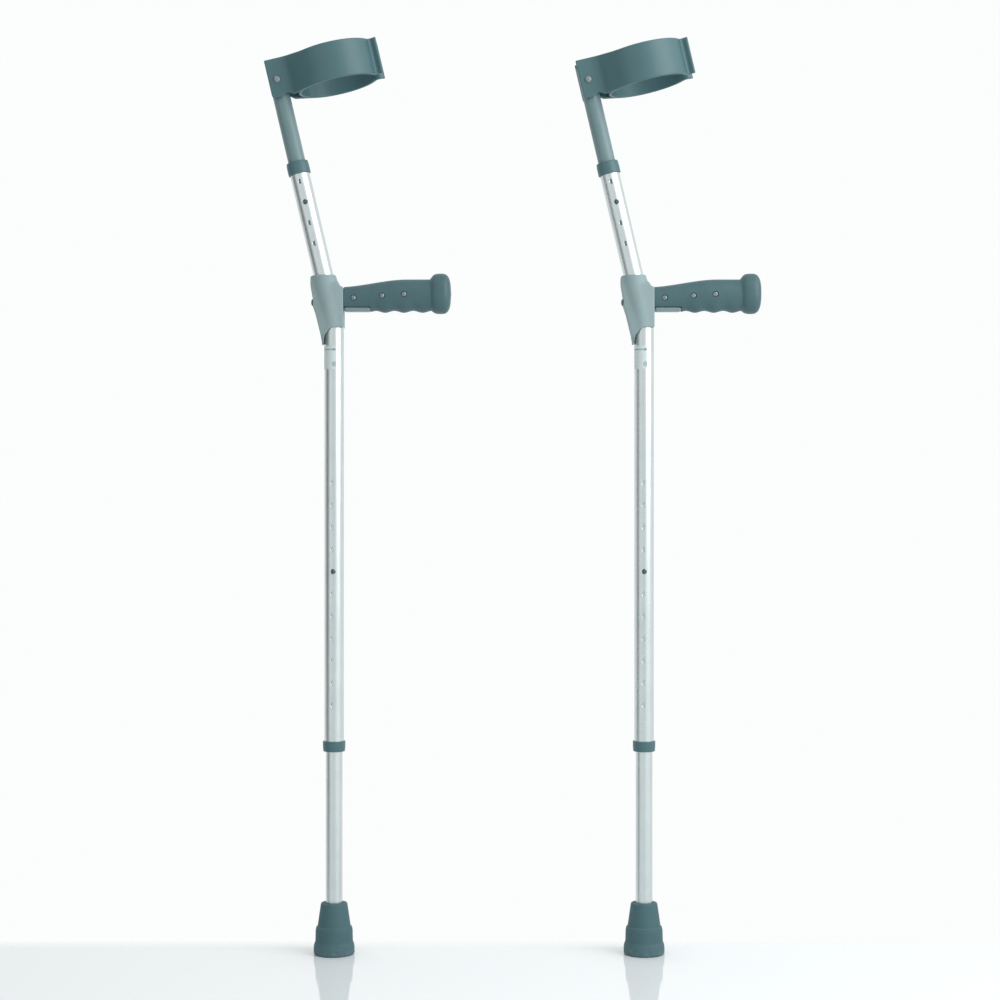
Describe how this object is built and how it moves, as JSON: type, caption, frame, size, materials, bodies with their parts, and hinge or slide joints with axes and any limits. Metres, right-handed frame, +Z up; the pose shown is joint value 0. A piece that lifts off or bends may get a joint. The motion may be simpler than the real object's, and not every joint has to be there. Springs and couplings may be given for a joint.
{
  "type": "forearm crutches",
  "caption": "Pair of forearm crutches with telescoping legs and cuff stems, snap-button height adjustment, moulded grips, open tilting forearm cuffs and rubber feet.",
  "frame": {"origin": "on the floor, under the middle of the bounding box of the standing pair", "axes": "+X is the way the handles point, +Z is up along the straight tubes, the tubes' hole rows face -Y"},
  "size_m": [0.5694, 0.094, 1.0486],
  "materials": {
    "aluminium_tube": "satin anodised",
    "grey_coated_tube": "satin powder coat",
    "dark_plastic": "satin moulded",
    "light_plastic": "matt moulded, finely textured",
    "ferrule_rubber": "matt",
    "steel": "zinc plated",
    "spring_steel": "oiled",
    "label_film": "satin film, blank"
  },
  "bodies": {
    "left_frame": {"left_main_tube": "aluminium_tube", "left_handle_bracket": "light_plastic", "left_handle_bolt": "steel", "left_handle_core": "light_plastic", "left_grip": "dark_plastic", "left_grip_screw_1": "steel", "left_grip_screw_2": "steel", "left_grip_screw_3": "steel", "left_grip_end_plug": "dark_plastic", "left_blank_label": "label_film", "left_lower_collar": "dark_plastic", "left_upper_collar": "dark_plastic"},
    "left_leg": {"left_leg_tube": "aluminium_tube", "left_leg_guide": "dark_plastic", "left_leg_snap_spring": "spring_steel", "left_ferrule": "ferrule_rubber", "left_ferrule_washer": "steel"},
    "left_leg_button": {"left_leg_snap_button": "steel"},
    "left_stem": {"left_stem_tube": "grey_coated_tube", "left_stem_guide": "dark_plastic", "left_stem_plug": "dark_plastic", "left_stem_snap_spring": "spring_steel", "left_cuff_rivet": "steel", "left_cuff_rivet_washer": "steel"},
    "left_stem_button": {"left_stem_snap_button": "steel"},
    "left_cuff_body": {"left_cuff": "dark_plastic"},
    "right_frame": {"right_main_tube": "aluminium_tube", "right_handle_bracket": "light_plastic", "right_handle_bolt": "steel", "right_handle_core": "light_plastic", "right_grip": "dark_plastic", "right_grip_screw_1": "steel", "right_grip_screw_2": "steel", "right_grip_screw_3": "steel", "right_grip_end_plug": "dark_plastic", "right_blank_label": "label_film", "right_lower_collar": "dark_plastic", "right_upper_collar": "dark_plastic"},
    "right_leg": {"right_leg_tube": "aluminium_tube", "right_leg_guide": "dark_plastic", "right_leg_snap_spring": "spring_steel", "right_ferrule": "ferrule_rubber", "right_ferrule_washer": "steel"},
    "right_leg_button": {"right_leg_snap_button": "steel"},
    "right_stem": {"right_stem_tube": "grey_coated_tube", "right_stem_guide": "dark_plastic", "right_stem_plug": "dark_plastic", "right_stem_snap_spring": "spring_steel", "right_cuff_rivet": "steel", "right_cuff_rivet_washer": "steel"},
    "right_stem_button": {"right_stem_snap_button": "steel"},
    "right_cuff_body": {"right_cuff": "dark_plastic"}
  },
  "joints": [
    {"name": "left_leg_slide", "type": "slide", "parent": "left_frame", "child": "left_leg", "axis": [0, 0, -1], "range_m": [-0.1016, 0.1524], "deforming": ["left_leg_snap_button"]},
    {"name": "left_leg_button_press", "type": "slide", "parent": "left_leg", "child": "left_leg_button", "axis": [0, 1, 0], "range_m": [0, 0.003], "stiffness_N_per_m": 900, "springref_m": -0.0025, "deforming": ["left_leg_snap_spring"]},
    {"name": "left_cuff_slide", "type": "slide", "parent": "left_frame", "child": "left_stem", "axis": [-0.2284, 0, 0.9736], "range_m": [-0.0486, 0.0243], "deforming": ["left_stem_snap_button"]},
    {"name": "left_stem_button_press", "type": "slide", "parent": "left_stem", "child": "left_stem_button", "axis": [0, 1, 0], "range_m": [0, 0.003], "stiffness_N_per_m": 900, "springref_m": -0.0025, "deforming": ["left_stem_snap_spring"]},
    {"name": "left_cuff_tilt", "type": "hinge", "parent": "left_stem", "child": "left_cuff_body", "pos_m": [-0.26999, 0, 1.00056], "axis": [0, 1, 0], "range_deg": [-15, 15]},
    {"name": "right_crutch_set_apart", "type": "slide", "parent": "left_frame", "child": "right_frame", "axis": [1, 0, 0], "range_m": [-0.1, 0.25]},
    {"name": "right_leg_slide", "type": "slide", "parent": "right_frame", "child": "right_leg", "axis": [0, 0, -1], "range_m": [-0.1016, 0.1524], "deforming": ["right_leg_snap_button"]},
    {"name": "right_leg_button_press", "type": "slide", "parent": "right_leg", "child": "right_leg_button", "axis": [0, 1, 0], "range_m": [0, 0.003], "stiffness_N_per_m": 900, "springref_m": -0.0025, "deforming": ["right_leg_snap_spring"]},
    {"name": "right_cuff_slide", "type": "slide", "parent": "right_frame", "child": "right_stem", "axis": [-0.2284, 0, 0.9736], "range_m": [-0.0486, 0.0243], "deforming": ["right_stem_snap_button"]},
    {"name": "right_stem_button_press", "type": "slide", "parent": "right_stem", "child": "right_stem_button", "axis": [0, 1, 0], "range_m": [0, 0.003], "stiffness_N_per_m": 900, "springref_m": -0.0025, "deforming": ["right_stem_snap_spring"]},
    {"name": "right_cuff_tilt", "type": "hinge", "parent": "right_stem", "child": "right_cuff_body", "pos_m": [0.08401, 0, 1.00056], "axis": [0, 1, 0], "range_deg": [-15, 15]}
  ]
}
